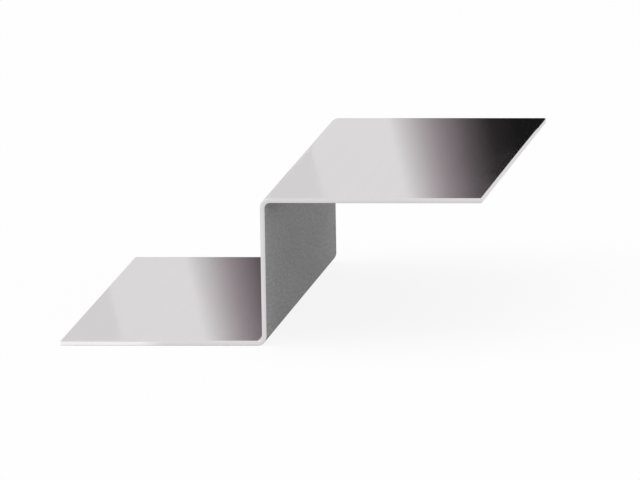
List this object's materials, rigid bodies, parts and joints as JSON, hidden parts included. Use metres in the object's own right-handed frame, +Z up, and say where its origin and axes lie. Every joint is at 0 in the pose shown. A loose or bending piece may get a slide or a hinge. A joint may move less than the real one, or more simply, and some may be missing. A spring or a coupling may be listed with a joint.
{
  "type": "z profile",
  "caption": "Z-shaped sheet-steel profile, with opposed flanges on an upright web, that carries cladding or edges a panel: bright on its outer face, matte grey on its back.",
  "frame": {"origin": "middle of the lower flange's underside, the face that is fixed to what carries the profile", "axes": "+Z up out of the fixing face towards the upper flange, +Y along the profile, +X from the lower flange towards the upper one"},
  "size_m": [0.086, 0.12, 0.03],
  "materials": {
    "sheet_steel": "smooth bright steel on top of both flanges and on the web's -X face, matte grey back coat on the other face, and light bare steel on the cut edges"
  },
  "bodies": {
    "root": {"z_profile": "sheet_steel"}
  },
  "joints": []
}
